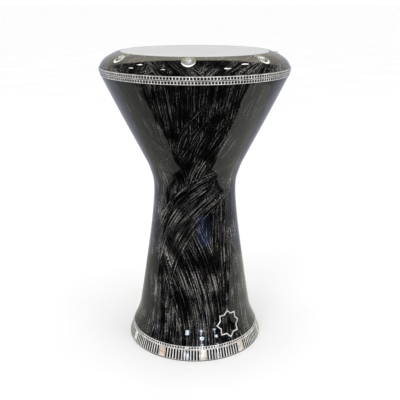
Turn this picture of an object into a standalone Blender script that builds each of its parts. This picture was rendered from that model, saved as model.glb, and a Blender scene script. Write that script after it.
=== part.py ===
"""Darbuka (goblet drum) with a bolted tuning ring, as an assembly of separate solids.

Metres, +Z up. The origin is the centre of the foot, on the floor. -Y is the front.
The drum is cast aluminium with a black finish, a plastic head 220 mm across, and a
rounded tension ring that seven socket-head screws pull down onto the head's hoop.
"""

import math

import bmesh
import bpy
from mathutils import Vector

# ---------------------------------------------------------------- driving dimensions
HEIGHT = 0.4583            # floor to the playing face of the head
FACETS = 42                # flats around every turned piece, six for each screw
GAP = 0.0003               # air left between pieces that touch or are glued

FILM = 0.0003              # thickness of the plastic head
HEAD_RADIUS = 0.1098       # outside of the head's upright collar
FILM_EDGE = 0.1133         # radius of the film's edge, down in the hoop
FILM_EDGE_BOTTOM = 0.4365
FLARE_TOP = 0.4460         # the film flares out from the collar to the hoop
FLARE_BOTTOM = 0.4418
FILM_BEND = 0.0009         # bevel at the film's bend over the bearing edge
WALL = 0.0040              # cast wall of the bowl, neck and foot

FOOT_RADIUS = 0.1086       # outer edge of the foot on the floor
FOOT_TAPER = 0.341         # radius lost per unit of height over the inlaid foot band
FOOT_LIP = 0.0009          # bare metal left under the inlay
FOOT_BAND_TOP = 0.0220     # upper lip of the foot's inlay groove
STRIPE_TOP = 0.0166        # top of the bars and tiles
INLAY = 0.0010             # thickness of every inlaid strip
GROOVE = INLAY + GAP       # depth of the grooves that hold them

FLANGE_TOP = 0.4303        # flat top of the shell's flange, under the ring
FLANGE_THICK = 0.0057
COLLAR_OUTER = 0.1092      # upright wall that carries the bearing edge
COLLAR_INNER = 0.1045
FLANGE_INNER = 0.1342      # where the flange's underside meets the wall
RIM_SLANT = 0.0011         # how far the rim's groove leans outward
BEARING_TOP = HEIGHT - FILM - GAP

SCREWS = 7
SCREW_CIRCLE = 0.1215      # radius of the circle of screws
FIRST_SCREW = -3.8         # degrees from the front towards +X
SCREW_TURN = 17.0          # each socket is left turned this much further than the last, in degrees
SEAT = 0.4473              # floor of the pockets in the ring
POCKET_RADIUS = 0.0095
SHANK_RADIUS = 0.0030      # M6 screw
SHANK_LENGTH = 0.0350
SHANK_HOLE = 0.0034        # tapped hole, to the thread's outer diameter
CLEARANCE_HOLE = 0.0035
SCREW_HEAD_RADIUS = 0.0050
SCREW_HEAD_HEIGHT = 0.0060
SOCKET_FLATS = 0.0050      # hexagon key size
SOCKET_DEPTH = 0.0030
WASHER_RADIUS = 0.0060
WASHER_THICK = 0.0016
BOSS_RADIUS = 0.0070
BOSS_BOTTOM = 0.4100

RING_BOTTOM = 0.4309
BAND_HEIGHT = 0.0048       # height of the two bead strips at the joint
RING_BAND_TOP = 0.4359
RING_BAND_PROUD = 0.0007   # the ring's strip stands out this far, and its groove is as deep
RING_BAND_LEAN = 0.0004    # its lower edge is this much further in
SHELL_BAND_TOP = 0.4301
SHELL_BAND_INNER = 0.1386  # radius behind the lower edge of the shell's strip
SHELL_BAND_THICK = 0.0013
SHELL_BAND_LEAN = 0.0010   # its upper edge is this much further out

HOOP_INNER = 0.1110
HOOP_OUTER = 0.1164
HOOP_BOTTOM = 0.4330
HOOP_TOP = 0.4410
HOOP_METAL = 0.0007
RESIN_TOP = 0.4386

THROAT = 0.1103            # ring's bore round the head
THROAT_TOP = HEIGHT - 0.0007
THROAT_BOTTOM = 0.4470
SHOULDER_INNER = 0.1142    # ring's shoulder that presses on the hoop
SHOULDER_START = 0.4430
HOOP_POCKET = 0.1170       # ring's recess for the hoop
SKIRT = [(0.1310, 0.4405), (0.1345, 0.4380), (0.1365, 0.4340)]  # inside of the ring's skirt

STRIPE_SETS = 10           # tiles around the foot, with a set of bars between each two
FIRST_TILE = 7.0           # degrees from the front towards +X
TILE_ANGLE = 4.9           # degrees of arc covered by one tile
TILE_MARGIN = 0.35         # degrees of glue line each side of a tile

STAR_ANGLE = 35.0          # degrees from the front towards +X
STAR_HEIGHT = 0.0480       # centre of the star above the floor
STAR_RADIUS = 0.0215
STAR_LINE = 0.0017         # width of its metal line
STAR_STEPS = 3             # pieces in each straight side, so that it follows the shell

# The shell's outside between foot band and flange: (radius, height), foot to rim.
SHELL_OUTLINE = [
    (0.1011, FOOT_BAND_TOP),
    (0.0941, 0.0380),
    (0.0890, 0.0580),
    (0.0796, 0.1180),
    (0.0682, 0.1980),
    (0.0641, 0.2530),
    (0.0703, 0.2830),
    (0.0818, 0.3080),
    (0.1119, 0.3680),
    (0.1395, 0.4250),
]
# The ring's outside, from the head's edge to the top of its bead strip.
RING_OUTLINE = [
    (0.1110, HEIGHT),
    (0.1150, HEIGHT - 0.0019),
    (0.1220, HEIGHT - 0.0050),
    (0.1310, HEIGHT - 0.0100),
    (0.1370, HEIGHT - 0.0150),
    (0.1400, HEIGHT - 0.0195),
    (0.1413, RING_BAND_TOP + GAP),
]

MATERIALS = {  # name: (colour, metallic, roughness)
    "black_lacquer": ((0.012, 0.012, 0.013), 0.3, 0.12),
    "white_film": ((0.82, 0.82, 0.80), 0.0, 0.35),
    "bare_aluminium": ((0.80, 0.80, 0.80), 1.0, 0.30),
    "cured_resin": ((0.62, 0.52, 0.33), 0.0, 0.45),
    "zinc_steel": ((0.72, 0.72, 0.73), 1.0, 0.22),
    "bead_strip": ((0.70, 0.68, 0.64), 0.0, 0.25),
    "bar_strip": ((0.55, 0.53, 0.50), 0.0, 0.25),
    "mother_of_pearl": ((0.72, 0.60, 0.52), 0.0, 0.18),
    "silver_inlay": ((0.85, 0.84, 0.82), 1.0, 0.25),
}


# ---------------------------------------------------------------- scene and materials
def clear_scene():
    for obj in list(bpy.data.objects):
        bpy.data.objects.remove(obj, do_unlink=True)


def make_material(name):
    colour, metallic, roughness = MATERIALS[name]
    material = bpy.data.materials.new(name)
    material.use_nodes = True
    shader = material.node_tree.nodes["Principled BSDF"]
    shader.inputs["Base Color"].default_value = (*colour, 1.0)
    shader.inputs["Metallic"].default_value = metallic
    shader.inputs["Roughness"].default_value = roughness
    material.diffuse_color = (*colour, 1.0)
    return material


def add_object(name, bm, material, sharp_degrees=32.0):
    """Turn a bmesh into an object, with its faces outward and round parts smooth."""
    bmesh.ops.recalc_face_normals(bm, faces=bm.faces)
    mesh = bpy.data.meshes.new(name)
    bm.to_mesh(mesh)
    bm.free()
    mesh.materials.append(material)
    mesh.shade_smooth()
    mesh.set_sharp_from_angle(angle=math.radians(sharp_degrees))
    obj = bpy.data.objects.new(name, mesh)
    bpy.context.collection.objects.link(obj)
    return obj


def copy_object(obj, name):
    """A second piece that shares the first one's mesh."""
    twin = bpy.data.objects.new(name, obj.data)
    bpy.context.collection.objects.link(twin)
    return twin


def join_to(child, parent):
    """Parent a piece and keep its place in the world."""
    child.parent = parent
    child.location = child.location - parent.location


def boolean(obj, operand, operation):
    operand.hide_render = True
    operand.display_type = "WIRE"
    modifier = obj.modifiers.new(operand.name, "BOOLEAN")
    modifier.operation = operation
    modifier.solver = "EXACT"
    modifier.object = operand


# ---------------------------------------------------------------- geometry helpers
def direction(angle):
    """Unit vector at an angle in degrees, from the front (-Y) towards +X."""
    a = math.radians(angle)
    return Vector((math.sin(a), -math.cos(a), 0.0))


def screw_angles():
    return [FIRST_SCREW + 360.0 * i / SCREWS for i in range(SCREWS)]


def facet_angles():
    return [FIRST_SCREW + 360.0 * i / FACETS for i in range(FACETS)]


def on_facets(radius, angle):
    """The point of the FACETS-sided turned surface of this radius at this angle."""
    step = 360.0 / FACETS
    inside = (angle - FIRST_SCREW) % step - step / 2.0
    flat = radius * math.cos(math.radians(step / 2.0))
    return direction(angle) * (flat / math.cos(math.radians(inside)))


def spline(points, steps):
    """A smooth curve through the points (Catmull-Rom), cut into steps pieces between each two."""
    vectors = [Vector(p) for p in points]
    before = vectors[0] * 2.0 - vectors[1]
    after = vectors[-1] * 2.0 - vectors[-2]
    padded = [before, *vectors, after]
    curve = []
    for i in range(len(vectors) - 1):
        a, b, c, d = padded[i:i + 4]
        for k in range(steps):
            t = k / steps
            curve.append(0.5 * (2.0 * b + (c - a) * t + (2.0 * a - 5.0 * b + 4.0 * c - d) * t * t
                                + (3.0 * b - a - 3.0 * c + d) * t ** 3))
    curve.append(vectors[-1])
    return curve


def inset(curve, distance):
    """The curve moved inward, towards the axis side, by a distance along its normals."""
    moved = []
    for i, point in enumerate(curve):
        along = (curve[min(i + 1, len(curve) - 1)] - curve[max(i - 1, 0)]).normalized()
        moved.append(point + Vector((-along.y, along.x)) * distance)
    return moved


def turned(name, section, material):
    """Spin a closed section of (radius, height) points about the drum's axis."""
    bm = bmesh.new()
    start = direction(FIRST_SCREW)
    verts = [bm.verts.new(start * r + Vector((0.0, 0.0, z))) for r, z in section]
    closed = section[0][0] > 0.0
    ends = verts[1:] + verts[:1] if closed else verts[1:]
    edges = [bm.edges.new(pair) for pair in zip(verts, ends)]
    bmesh.ops.spin(bm, geom=edges, axis=(0.0, 0.0, 1.0), cent=(0.0, 0.0, 0.0),
                   steps=FACETS, angle=math.tau, use_merge=True)
    bmesh.ops.remove_doubles(bm, verts=bm.verts, dist=1e-7)
    return add_object(name, bm, material)


def arc_block(name, section, start, end, material):
    """Sweep a closed section round part of the turned surface, with closed ends."""
    corners = [a + turn for turn in (-360.0, 0.0, 360.0) for a in facet_angles()]
    inner = [a for a in corners if start + 0.05 < a < end - 0.05]
    bm = bmesh.new()
    rings = []
    for angle in [start, *inner, end]:
        rings.append([bm.verts.new(on_facets(r, angle) + Vector((0.0, 0.0, z))) for r, z in section])
    bridge(bm, rings)
    return add_object(name, bm, material)


def bridge(bm, rings):
    """Quads between neighbouring rings of vertices, and a cap on the first and last."""
    count = len(rings[0])
    for low, high in zip(rings, rings[1:]):
        for i in range(count):
            j = (i + 1) % count
            bm.faces.new((low[i], low[j], high[j], high[i]))
    bm.faces.new(rings[0][::-1])
    bm.faces.new(rings[-1])


def posts(name, radius, bottom, top, sides):
    """Upright cylinders on the screw circle, as one cutter or one set of bosses."""
    bm = bmesh.new()
    for angle in screw_angles():
        centre = direction(angle) * SCREW_CIRCLE
        rings = [[bm.verts.new(centre + direction(angle + 360.0 * i / sides) * radius
                               + Vector((0.0, 0.0, z))) for i in range(sides)]
                 for z in (bottom, top)]
        bridge(bm, rings)
    return add_object(name, bm, bpy.data.materials["bare_aluminium"])


# ---------------------------------------------------------------- shell
def foot_radius(height):
    return FOOT_RADIUS - FOOT_TAPER * height


def shell_section():
    """The cast goblet: grooved foot, waisted body, flange and upright collar."""
    outside = spline(SHELL_OUTLINE, 2)
    inside = inset(outside, WALL)
    rim_groove = SHELL_BAND_TOP - BAND_HEIGHT - GAP
    groove_low = SHELL_OUTLINE[-1][0] - GROOVE
    groove_high = groove_low + RIM_SLANT
    foot = [
        (FOOT_RADIUS - WALL - 0.0006, 0.0),
        (FOOT_RADIUS - GAP, 0.0),
        (FOOT_RADIUS - GAP, FOOT_LIP),
        (foot_radius(FOOT_LIP) - GROOVE, FOOT_LIP),
        (foot_radius(FOOT_BAND_TOP) - GROOVE, FOOT_BAND_TOP),
    ]
    rim = [
        (groove_low, rim_groove),
        (groove_high, FLANGE_TOP),
        (COLLAR_OUTER, FLANGE_TOP),
        (COLLAR_OUTER, BEARING_TOP - 0.0008),
        (COLLAR_OUTER - 0.0008, BEARING_TOP),
        (COLLAR_OUTER - 0.0017, BEARING_TOP - 0.0003),
        (COLLAR_INNER, BEARING_TOP - 0.0038),
        (COLLAR_INNER, FLANGE_TOP - FLANGE_THICK),
        (FLANGE_INNER, FLANGE_TOP - FLANGE_THICK),
    ]
    down = [tuple(p) for p in reversed(inside) if p.y < FLANGE_TOP - FLANGE_THICK - 0.004]
    body = [tuple(p) for p in outside[:-1]] + [(SHELL_OUTLINE[-1][0], rim_groove)]
    return foot + body + rim + down


def make_shell(material):
    shell = turned("shell", shell_section(), material)
    bosses = posts("screw_bosses", BOSS_RADIUS, BOSS_BOTTOM, FLANGE_TOP - 0.002, 12)
    holes = posts("tapped_holes", SHANK_HOLE, BOSS_BOTTOM - 0.002, FLANGE_TOP + 0.002, 16)
    boolean(shell, bosses, "UNION")
    boolean(shell, holes, "DIFFERENCE")
    return shell


# ---------------------------------------------------------------- head
def make_head_film(material):
    under = HEIGHT - FILM
    inner = HEAD_RADIUS - FILM
    edge_inner = FILM_EDGE - FILM
    step = FILM / 3.0
    section = [
        (0.0, HEIGHT),
        (HEAD_RADIUS - FILM_BEND, HEIGHT),
        (HEAD_RADIUS, HEIGHT - FILM_BEND),
        (HEAD_RADIUS, FLARE_TOP),
        (FILM_EDGE, FLARE_BOTTOM),
        (FILM_EDGE, FILM_EDGE_BOTTOM),
        (edge_inner, FILM_EDGE_BOTTOM),
        (edge_inner, FLARE_BOTTOM + step),
        (inner, FLARE_TOP + step),
        (inner, under - FILM_BEND + step),
        (inner - FILM_BEND + step, under),
        (0.0, under),
    ]
    return turned("head_film", section, material)


def make_head_hoop(material):
    floor = HOOP_BOTTOM + HOOP_METAL
    section = [
        (HOOP_INNER, HOOP_BOTTOM),
        (HOOP_OUTER, HOOP_BOTTOM),
        (HOOP_OUTER, HOOP_TOP),
        (HOOP_OUTER - HOOP_METAL, HOOP_TOP),
        (HOOP_OUTER - HOOP_METAL, floor),
        (HOOP_INNER + HOOP_METAL, floor),
        (HOOP_INNER + HOOP_METAL, HOOP_TOP - HOOP_METAL),
        (HOOP_INNER, HOOP_TOP - HOOP_METAL),
    ]
    return turned("head_hoop", section, material)


def make_hoop_resin(material):
    """Resin cast into the hoop, with the slot that the film's edge sits in."""
    inner = HOOP_INNER + HOOP_METAL + GAP
    outer = HOOP_OUTER - HOOP_METAL - GAP
    bottom = HOOP_BOTTOM + HOOP_METAL + GAP
    slot_outer = FILM_EDGE + GAP
    slot_inner = FILM_EDGE - FILM - GAP
    slot_bottom = FILM_EDGE_BOTTOM - GAP
    section = [
        (inner, bottom),
        (outer, bottom),
        (outer, RESIN_TOP),
        (slot_outer, RESIN_TOP),
        (slot_outer, slot_bottom),
        (slot_inner, slot_bottom),
        (slot_inner, RESIN_TOP),
        (inner, RESIN_TOP),
    ]
    return turned("hoop_resin", section, material)


# ---------------------------------------------------------------- tension ring
def ring_section():
    """Rounded cast ring: sloping top, skirt down to the joint, shoulder on the hoop."""
    shoulder = HOOP_TOP + GAP
    groove = RING_OUTLINE[-1][0] - RING_BAND_PROUD
    return [
        (THROAT, THROAT_TOP),
        (THROAT, THROAT_BOTTOM),
        (SHOULDER_INNER, SHOULDER_START),
        (SHOULDER_INNER, shoulder),
        (HOOP_POCKET, shoulder),
        (HOOP_POCKET, SKIRT[0][1]),
        *SKIRT,
        (SKIRT[-1][0], RING_BOTTOM),
        (groove - RING_BAND_LEAN, RING_BOTTOM),
        (groove, RING_BAND_TOP + GAP),
        *RING_OUTLINE[::-1],
    ]


def make_tension_ring(material):
    ring = turned("tension_ring", ring_section(), material)
    pockets = posts("screw_pockets", POCKET_RADIUS, SEAT, HEIGHT + 0.002, 20)
    holes = posts("clearance_holes", CLEARANCE_HOLE, HOOP_TOP - 0.003, SEAT + 0.002, 16)
    boolean(ring, pockets, "DIFFERENCE")
    boolean(ring, holes, "DIFFERENCE")
    return ring


# ---------------------------------------------------------------- screws and washers
def circle(radius, height, sides):
    return [direction(360.0 * i / sides) * radius + Vector((0.0, 0.0, height)) for i in range(sides)]


def hexagon(flats, height):
    """Twelve points round a hexagon: its corners and the middles of its sides."""
    corner = flats / math.sqrt(3.0)
    points = []
    for i in range(12):
        radius = corner if i % 2 == 0 else flats / 2.0
        points.append(direction(30.0 * i) * radius + Vector((0.0, 0.0, height)))
    return points


def make_screw(material):
    """M6 socket-head screw. Its origin is on its axis, under the head."""
    chamfer = 0.0006
    socket_floor = SCREW_HEAD_HEIGHT - SOCKET_DEPTH
    outline = [
        hexagon(SOCKET_FLATS, socket_floor),
        hexagon(SOCKET_FLATS, SCREW_HEAD_HEIGHT),
        circle(SCREW_HEAD_RADIUS - chamfer, SCREW_HEAD_HEIGHT, 12),
        circle(SCREW_HEAD_RADIUS, SCREW_HEAD_HEIGHT - chamfer, 12),
        circle(SCREW_HEAD_RADIUS, 0.0, 12),
        circle(SHANK_RADIUS, 0.0, 12),
        circle(SHANK_RADIUS, -SHANK_LENGTH + 0.001, 12),
        circle(SHANK_RADIUS - 0.0007, -SHANK_LENGTH, 12),
    ]
    bm = bmesh.new()
    bridge(bm, [[bm.verts.new(p) for p in ring] for ring in outline])
    return add_object("tuning_bolt_1", bm, material)


def make_washer(material):
    """Plain washer. Its origin is on its axis, at its underside."""
    sides = 16
    bore = SHANK_RADIUS + 0.0004
    loops = [
        circle(bore, 0.0, sides),
        circle(WASHER_RADIUS, 0.0, sides),
        circle(WASHER_RADIUS, WASHER_THICK, sides),
        circle(bore, WASHER_THICK, sides),
    ]
    bm = bmesh.new()
    rings = [[bm.verts.new(p) for p in loop] for loop in loops]
    for low, high in zip(rings, rings[1:] + rings[:1]):
        for i in range(sides):
            j = (i + 1) % sides
            bm.faces.new((low[i], low[j], high[j], high[i]))
    return add_object("bolt_washer_1", bm, material)


def make_fasteners(ring, material):
    """Seven washers on the ring's seats, and a screw through each one."""
    first_washer = make_washer(material)
    first_screw = make_screw(material)
    for number, angle in enumerate(screw_angles(), start=1):
        washer = first_washer if number == 1 else copy_object(first_washer, f"bolt_washer_{number}")
        screw = first_screw if number == 1 else copy_object(first_screw, f"tuning_bolt_{number}")
        place = direction(angle) * SCREW_CIRCLE
        washer.location = place + Vector((0.0, 0.0, SEAT + GAP))
        screw.location = place + Vector((0.0, 0.0, SEAT + WASHER_THICK + 2.0 * GAP))
        screw.rotation_euler.z = math.radians(angle + SCREW_TURN * number)
        join_to(screw, washer)
        join_to(washer, ring)


# ---------------------------------------------------------------- inlaid strips
def make_ring_bead_band(material):
    outer = RING_OUTLINE[-1][0] + RING_BAND_PROUD
    bottom = RING_BAND_TOP - BAND_HEIGHT
    section = [
        (outer - INLAY - RING_BAND_LEAN, bottom),
        (outer - RING_BAND_LEAN, bottom),
        (outer, RING_BAND_TOP),
        (outer - INLAY, RING_BAND_TOP),
    ]
    return turned("ring_bead_band", section, material)


def make_shell_bead_band(material):
    bottom = SHELL_BAND_TOP - BAND_HEIGHT
    high = SHELL_BAND_INNER + SHELL_BAND_LEAN
    section = [
        (SHELL_BAND_INNER, bottom),
        (SHELL_BAND_INNER + SHELL_BAND_THICK, bottom),
        (high + SHELL_BAND_THICK, SHELL_BAND_TOP),
        (high, SHELL_BAND_TOP),
    ]
    return turned("shell_bead_band", section, material)


def foot_strip(bottom, top):
    """Section of a strip that lies in the foot's groove between two heights."""
    return [
        (foot_radius(bottom) - INLAY, bottom),
        (foot_radius(bottom), bottom),
        (foot_radius(top), top),
        (foot_radius(top) - INLAY, top),
    ]


def make_foot_bead_band(material):
    section = foot_strip(STRIPE_TOP + 0.0004, FOOT_BAND_TOP - GAP)
    return turned("foot_bead_band", section, material)


def make_foot_inlay(bar_material, tile_material):
    """Ten pearl tiles round the foot, and ten strips of bars between them."""
    section = foot_strip(FOOT_LIP + GAP, STRIPE_TOP)
    pitch = 360.0 / STRIPE_SETS
    pieces = []
    for k in range(STRIPE_SETS):
        middle = FIRST_TILE + pitch * k
        edge = middle + TILE_ANGLE / 2.0
        pieces.append(arc_block(f"pearl_tile_{k + 1}", section, middle - TILE_ANGLE / 2.0, edge,
                                tile_material))
        pieces.append(arc_block(f"bar_inlay_{k + 1}", section, edge + TILE_MARGIN,
                                edge + pitch - TILE_ANGLE - TILE_MARGIN, bar_material))
    return pieces


# ---------------------------------------------------------------- star inlay
def shell_radius(height):
    """Outside radius of the shell at a height, from its outline."""
    curve = spline(SHELL_OUTLINE, 2)
    for low, high in zip(curve, curve[1:]):
        if low.y <= height <= high.y:
            return low.x + (high.x - low.x) * (height - low.y) / (high.y - low.y)
    return curve[0].x


def on_shell(across, up, lift):
    """A point of the shell's surface, measured from the star's centre, raised by lift."""
    height = STAR_HEIGHT + up
    radius = shell_radius(height)
    angle = STAR_ANGLE + math.degrees(across / shell_radius(STAR_HEIGHT))
    return on_facets(radius + lift, angle) + Vector((0.0, 0.0, height))


def star_loop(radius):
    """Sixteen-cornered outline of two crossed squares, with points along each side."""
    notch = radius * math.cos(math.radians(45.0)) / math.cos(math.radians(22.5))
    corners = []
    for i in range(16):
        reach = radius if i % 2 == 0 else notch
        a = math.radians(22.5 * i)
        corners.append(Vector((reach * math.sin(a), reach * math.cos(a))))
    points = []
    for a, b in zip(corners, corners[1:] + corners[:1]):
        points.extend(a.lerp(b, k / STAR_STEPS) for k in range(STAR_STEPS))
    return points


def make_star_inlay(material):
    """A plain eight-pointed star in metal line, lying on the shell above the foot band."""
    line_scale = STAR_LINE / math.cos(math.radians(45.0))
    outer = star_loop(STAR_RADIUS)
    inner = star_loop(STAR_RADIUS - line_scale)
    bottom, top = GAP + 0.0001, GAP + 0.0006
    bm = bmesh.new()
    loops = [(inner, bottom), (outer, bottom), (outer, top), (inner, top)]
    rings = [[bm.verts.new(on_shell(p.x, p.y, lift)) for p in loop] for loop, lift in loops]
    for low, high in zip(rings, rings[1:] + rings[:1]):
        for i in range(len(low)):
            j = (i + 1) % len(low)
            bm.faces.new((low[i], low[j], high[j], high[i]))
    return add_object("star_inlay", bm, material)


# ---------------------------------------------------------------- assembly
def build():
    clear_scene()
    paint = {name: make_material(name) for name in MATERIALS}

    shell = make_shell(paint["black_lacquer"])
    for piece in (
        make_shell_bead_band(paint["bead_strip"]),
        make_foot_bead_band(paint["bead_strip"]),
        *make_foot_inlay(paint["bar_strip"], paint["mother_of_pearl"]),
        make_star_inlay(paint["silver_inlay"]),
    ):
        join_to(piece, shell)

    film = make_head_film(paint["white_film"])
    join_to(film, shell)
    join_to(make_head_hoop(paint["bare_aluminium"]), film)
    join_to(make_hoop_resin(paint["cured_resin"]), film)

    ring = make_tension_ring(paint["black_lacquer"])
    join_to(ring, film)
    join_to(make_ring_bead_band(paint["bead_strip"]), ring)
    make_fasteners(ring, paint["zinc_steel"])


build()
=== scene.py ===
"""Darbuka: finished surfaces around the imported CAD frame. Metres, +Z up, the front is -Y."""

import math
import random

import bmesh
import bpy
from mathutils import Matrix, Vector


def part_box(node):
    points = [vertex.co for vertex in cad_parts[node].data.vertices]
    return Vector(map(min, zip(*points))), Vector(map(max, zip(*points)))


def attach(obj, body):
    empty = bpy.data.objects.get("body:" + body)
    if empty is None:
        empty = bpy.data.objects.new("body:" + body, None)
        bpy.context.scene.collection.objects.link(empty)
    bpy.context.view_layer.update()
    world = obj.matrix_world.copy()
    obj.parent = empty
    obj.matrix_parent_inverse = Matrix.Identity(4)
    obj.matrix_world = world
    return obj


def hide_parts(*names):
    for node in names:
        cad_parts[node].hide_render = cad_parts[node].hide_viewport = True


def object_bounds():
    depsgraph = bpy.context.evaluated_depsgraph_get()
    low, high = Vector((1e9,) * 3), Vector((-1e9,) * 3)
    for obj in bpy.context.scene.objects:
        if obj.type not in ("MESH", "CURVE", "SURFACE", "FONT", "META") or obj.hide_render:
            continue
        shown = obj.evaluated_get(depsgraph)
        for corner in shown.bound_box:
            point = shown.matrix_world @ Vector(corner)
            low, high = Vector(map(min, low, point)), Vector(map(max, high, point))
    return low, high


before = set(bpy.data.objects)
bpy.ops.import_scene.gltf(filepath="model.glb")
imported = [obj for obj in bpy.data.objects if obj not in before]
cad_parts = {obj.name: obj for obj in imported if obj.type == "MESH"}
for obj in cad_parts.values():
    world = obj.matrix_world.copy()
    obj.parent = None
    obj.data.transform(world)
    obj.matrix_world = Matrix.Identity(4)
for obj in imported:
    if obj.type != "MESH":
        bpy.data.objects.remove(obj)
cad_low, cad_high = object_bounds()

# ------------------------------ sizes
HEIGHT = cad_high[2]       # floor to the playing face of the head
GAP = 0.0003               # air between pieces
OVERLAP = 0.002            # how far a Boolean's operand reaches past the surface it meets
FINE = 252                 # columns round every piece turned on the drum's axis, 36 for each screw
SCREW_COLUMNS = 48         # columns round a screw and a washer
SMOOTH = 32.0              # edges sharper than this stay crisp, in degrees
FLAT = 14.0                # the same on the inlays
ON_AXIS = 1e-6             # a point of a section within this radius is the tip of a fan
FILLET_SHARE = 0.45        # a fillet takes at most this share of the side it is on
END_BEVEL = 0.00012        # bevel at the ends of bars and tiles
BEVEL_SHARE = 0.4          # and its largest share of the way to the section's middle
SECOND = 1                 # the second of a piece's two materials

FILM = 0.0003              # thickness of the plastic head
HEAD_RADIUS = 0.1098
HEAD_RINGS = (0.02, 0.05, 0.08, 0.10)  # circles of vertices on the flat of the head
FILM_EDGE = 0.1133         # radius of the film's edge in the hoop
FILM_EDGE_BOTTOM = 0.4365
FLARE_TOP = 0.4460         # heights where the film leaves the collar for the hoop
FLARE_BOTTOM = 0.4418
FLARE_RISE = 0.0001        # the inside of the film bends this much higher
WALL = 0.0040

FOOT_RADIUS = 0.1086
FOOT_TAPER = 0.341         # radius lost per unit of height over the foot band
FOOT_LIP = 0.0009
FOOT_BAND_TOP = 0.0220
STRIPE_TOP = 0.0166
INLAY = 0.0010             # thickness of the inlaid strips
GROOVE = INLAY + GAP
BEAD_LINE = 0.0004         # air between the foot's bars and its bead strip

EDGE = 0.0005              # rounding of the shell's edges
SHELL_SKIN = 0.0022        # faces this close to the shell's outline are lacquered
RING_SKIN = 0.0015         # and this close to the ring's
FLANGE_TOP = 0.4303
FLANGE_THICK = 0.0057
FLANGE_FLARE = 0.004       # the wall's inside starts to turn into the flange this far below it
FLANGE_INNER = 0.1342      # where the flange's underside meets the wall
COLLAR_OUTER = 0.1092
COLLAR_INNER = 0.1045
RIM_SLANT = 0.0011         # how far the rim's groove leans outward
BEARING_TOP = HEIGHT - FILM - GAP
BEARING_WIDTH = 0.0017     # flat of the bearing edge
BEARING_DROP = 0.0038      # its inner slope

SCREWS = 7
SCREW_CIRCLE = 0.1215
FIRST_SCREW = -3.8         # degrees from the front towards +X, as for every angle below
SCREW_TURN = 17.0          # each socket is left turned this much further than the last
SEAT = 0.4473
POCKET_RADIUS = 0.0095
RIM_RADIUS = 0.0094        # bare milled edge of a pocket, painted near-white as a highlight, on its outer side only
RIM_SHIFT = 0.0026
RIM_SOFT = 0.0002
SHANK_RADIUS = 0.0030
SHANK_LENGTH = 0.0350
SHANK_HOLE = 0.0034
CLEARANCE_HOLE = 0.0035
SCREW_HEAD_RADIUS = 0.0050
SCREW_HEAD_HEIGHT = 0.0060
SCREW_HEAD_EDGE = ((0.0006, 0.0), (0.0002, 0.0002), (0.0001, 0.0006))  # (inward, down)
KNURL_HEIGHTS = (SCREW_HEAD_HEIGHT - 0.0009, 0.0006)
KNURL_DEPTH = 0.00016
SCREW_TIP = 0.0009         # how much the screw's end is drawn in
SOCKET_FLATS = 0.0050
SOCKET_DEPTH = 0.0030
SOCKET_FLOOR = SCREW_HEAD_HEIGHT - SOCKET_DEPTH
SOCKET_ROWS = (            # (share of the key's size, height), from the bottom up
    (0.40, SOCKET_FLOOR - 0.0006), (0.98, SOCKET_FLOOR), (0.98, SCREW_HEAD_HEIGHT - 0.0003),
    (1.10, SCREW_HEAD_HEIGHT),
)
WASHER_RADIUS = 0.0060
WASHER_THICK = 0.0016
WASHER_GAP = 0.0004        # between a washer and its screw
BOSS_RADIUS = 0.0070
BOSS_BOTTOM = 0.4100
THREAD_PITCH = 0.0010
THREAD_DEPTH = 0.0005
THREAD_STEPS = 6           # rows of vertices in one pitch
THREAD_START = 0.0060      # plain shank under the head
THREAD_END = 0.0008        # room left at the thread's start and end
SCREW_NECK = (             # (radius, height), from under the head to the thread
    (SCREW_HEAD_RADIUS - 0.0003, 0.0002), (SCREW_HEAD_RADIUS - 0.0006, 0.0),
    (SHANK_RADIUS + 0.0002, 0.0), (SHANK_RADIUS - 0.0001, -0.0003),
    (SHANK_RADIUS - 0.0001, -THREAD_START + THREAD_END),
)

RING_BOTTOM = 0.4309
RING_MIDDLE = 0.135        # radius of the middle of the ring's slope
RING_SLOPE = 0.8           # height lost per unit of radius, for the strokes on it
BAND_HEIGHT = 0.0048
RING_BAND_TOP = 0.4359
RING_BAND_PROUD = 0.0007   # the ring's strip stands out this far, and its groove is as deep
RING_BAND_LEAN = 0.0004    # its lower edge is this much further in
SHELL_BAND_TOP = 0.4301
SHELL_BAND_INNER = 0.1386  # radius behind the lower edge of the shell's strip
SHELL_BAND_THICK = 0.0013
SHELL_BAND_LEAN = 0.0010   # its upper edge is this much further out
THROAT = 0.1103            # the ring's bore round the head
THROAT_TOP = HEIGHT - 0.0007
THROAT_BOTTOM = 0.4470
SHOULDER_INNER = 0.1142    # the ring's shoulder that presses on the hoop
SHOULDER_START = 0.4430
SKIRT = ((0.1310, 0.4405), (0.1345, 0.4380), (0.1365, 0.4340))  # inside of the ring's skirt

HOOP_INNER = 0.1110
HOOP_OUTER = 0.1164
HOOP_BOTTOM = 0.4330
HOOP_TOP = 0.4410
HOOP_METAL = 0.0007
HOOP_POCKET = 0.1170       # the ring's recess for the hoop
RESIN_TOP = 0.4386

JOINT_DOTS = 200           # black dots in each of the two strips at the joint
JOINT_DOT = 0.0032         # side of one dot
JOINT_LINE = 0.00025       # black line along a strip's edge on the side of the joint
FOOT_DOTS = 147
FOOT_DOT = 0.0026
DOT_ROUND = 0.0004         # radius of a dot's corners
STRIP_ROUND = 0.0002       # rounded edges of the strips and tiles
PROUD = 0.00005            # how far an inlaid dot or bar stands above its strip
PLATE_LEVELS = (           # (share of the outline, height above the strip) of a dot or bar
    (1.0, -0.0004), (1.0, PROUD * 0.3), (0.94, PROUD),
)

STRIPE_SETS = 10
FIRST_TILE = 7.0
TILE_ANGLE = 4.9
TILE_MARGIN = 0.35
BARS = 12                  # black bars in a set
BAR_PITCH = 2.53
BAR_SHARE = 0.60           # black part of the pitch
BAR_MARGIN = 0.0010        # how much shorter a bar is than its strip
BAR_ROUND = 0.0003

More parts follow.
